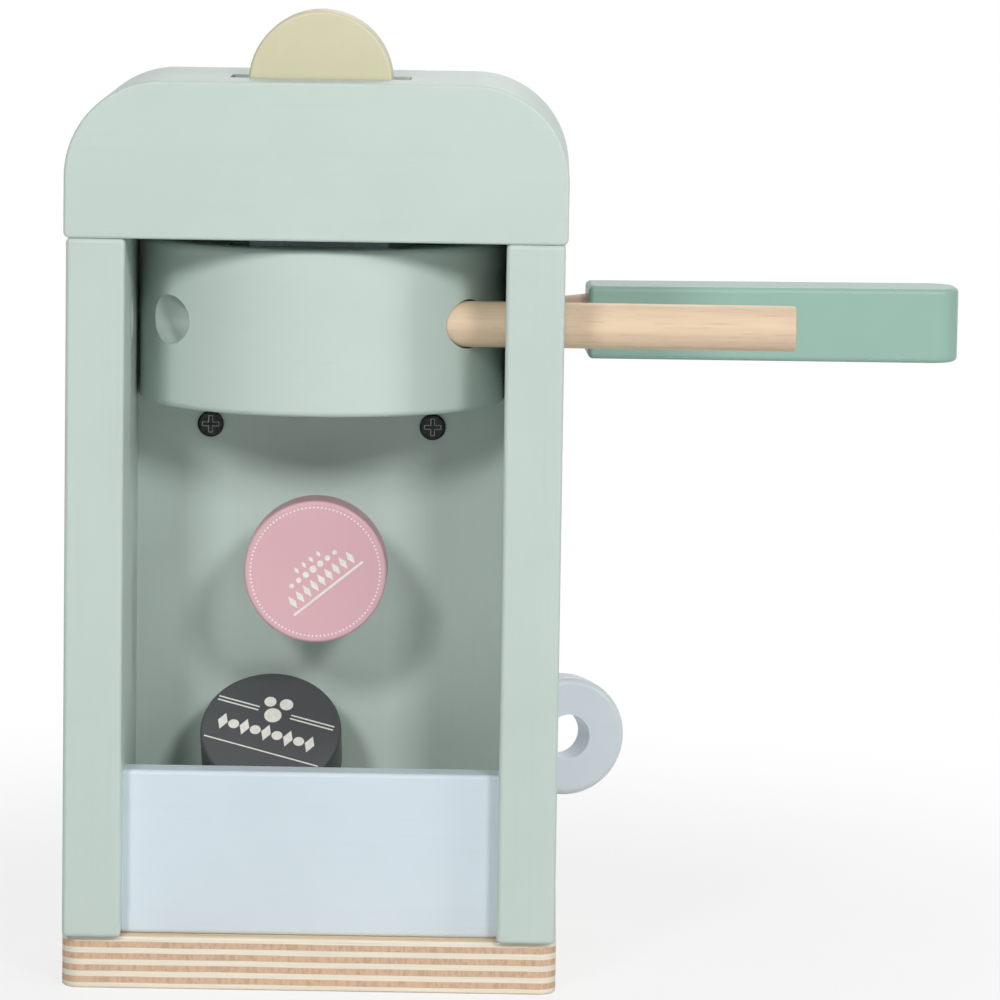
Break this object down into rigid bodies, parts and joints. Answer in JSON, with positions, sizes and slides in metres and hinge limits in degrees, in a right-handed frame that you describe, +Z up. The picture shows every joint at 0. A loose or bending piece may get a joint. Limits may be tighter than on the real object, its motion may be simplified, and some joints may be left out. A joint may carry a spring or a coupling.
{
  "type": "toy coffee maker",
  "caption": "Wooden toy coffee maker with a pod slot, chute, release rod and bin, a turning filter holder and a ring-handled cup.",
  "frame": {"origin": "middle of the underside of the base board", "axes": "+X to the right seen from the open pod side, +Y from the pod side to the cup side, +Z up"},
  "size_m": [0.2377, 0.143, 0.2552],
  "materials": {
    "plywood": "sanded, clear oiled",
    "mint_paint": "satin",
    "pale_blue_paint": "satin",
    "black_screw": "satin",
    "natural_wood": "sanded, clear oiled",
    "dark_green_paint": "satin",
    "yellow_paint": "satin",
    "pink_paint": "satin",
    "charcoal_paint": "satin"
  },
  "bodies": {
    "machine": {"base_board": "plywood", "side_panel_left": "mint_paint", "side_panel_right": "mint_paint", "top_block": "mint_paint", "divider_wall": "mint_paint", "chute_block": "mint_paint", "bin_board": "pale_blue_paint", "fork_plate": "mint_paint", "brew_head": "mint_paint", "wall_screws": "black_screw", "base_screws": "black_screw", "top_dowels": "natural_wood", "bin_dowels": "natural_wood", "chute_dowels": "natural_wood", "head_dowels": "natural_wood"},
    "rod": {"release_rod": "natural_wood"},
    "filter_holder": {"holder_hub": "natural_wood", "holder_neck": "natural_wood", "holder_grip": "dark_green_paint"},
    "cup": {"cup_body": "pale_blue_paint", "cup_handle": "pale_blue_paint"},
    "waiting_pod": {"pod_waiting": "pale_blue_paint"},
    "slot_pod": {"pod_in_slot": "yellow_paint"},
    "falling_pod": {"pod_falling": "pink_paint"},
    "bin_pod_low": {"pod_bin_low": "mint_paint"},
    "bin_pod_mid": {"pod_bin_mid": "yellow_paint"},
    "bin_pod_top": {"pod_bin_top": "charcoal_paint"}
  },
  "joints": [
    {"name": "rod_slide", "type": "slide", "parent": "machine", "child": "rod", "axis": [1, 0, 0], "range_m": [-0.0385, 0.048]},
    {"name": "holder_turn", "type": "hinge", "parent": "machine", "child": "filter_holder", "pos_m": [0, 0.027, 0.16], "axis": [0, 0, 1], "range_deg": [-12, 84]},
    {"name": "cup_slide_out", "type": "slide", "parent": "machine", "child": "cup", "axis": [0, 1, 0], "range_m": [0, 0.09]},
    {"name": "waiting_pod_lift", "type": "slide", "parent": "machine", "child": "waiting_pod", "axis": [0, 0, 1], "range_m": [0, 0.06]},
    {"name": "slot_pod_lift", "type": "slide", "parent": "waiting_pod", "child": "slot_pod", "axis": [0, 0, 1], "range_m": [0, 0.045]},
    {"name": "falling_pod_drop", "type": "slide", "parent": "machine", "child": "falling_pod", "axis": [0, 0, 1], "range_m": [-0.024, 0.036]},
    {"name": "bin_pod_low_shift", "type": "slide", "parent": "machine", "child": "bin_pod_low", "axis": [1, 0, 0], "range_m": [0, 0.03]},
    {"name": "bin_pod_mid_lift", "type": "slide", "parent": "bin_pod_low", "child": "bin_pod_mid", "axis": [0, 0, 1], "range_m": [0, 0.01]},
    {"name": "bin_pod_top_lift", "type": "slide", "parent": "bin_pod_mid", "child": "bin_pod_top", "axis": [0, 0, 1], "range_m": [0, 0.014]}
  ]
}
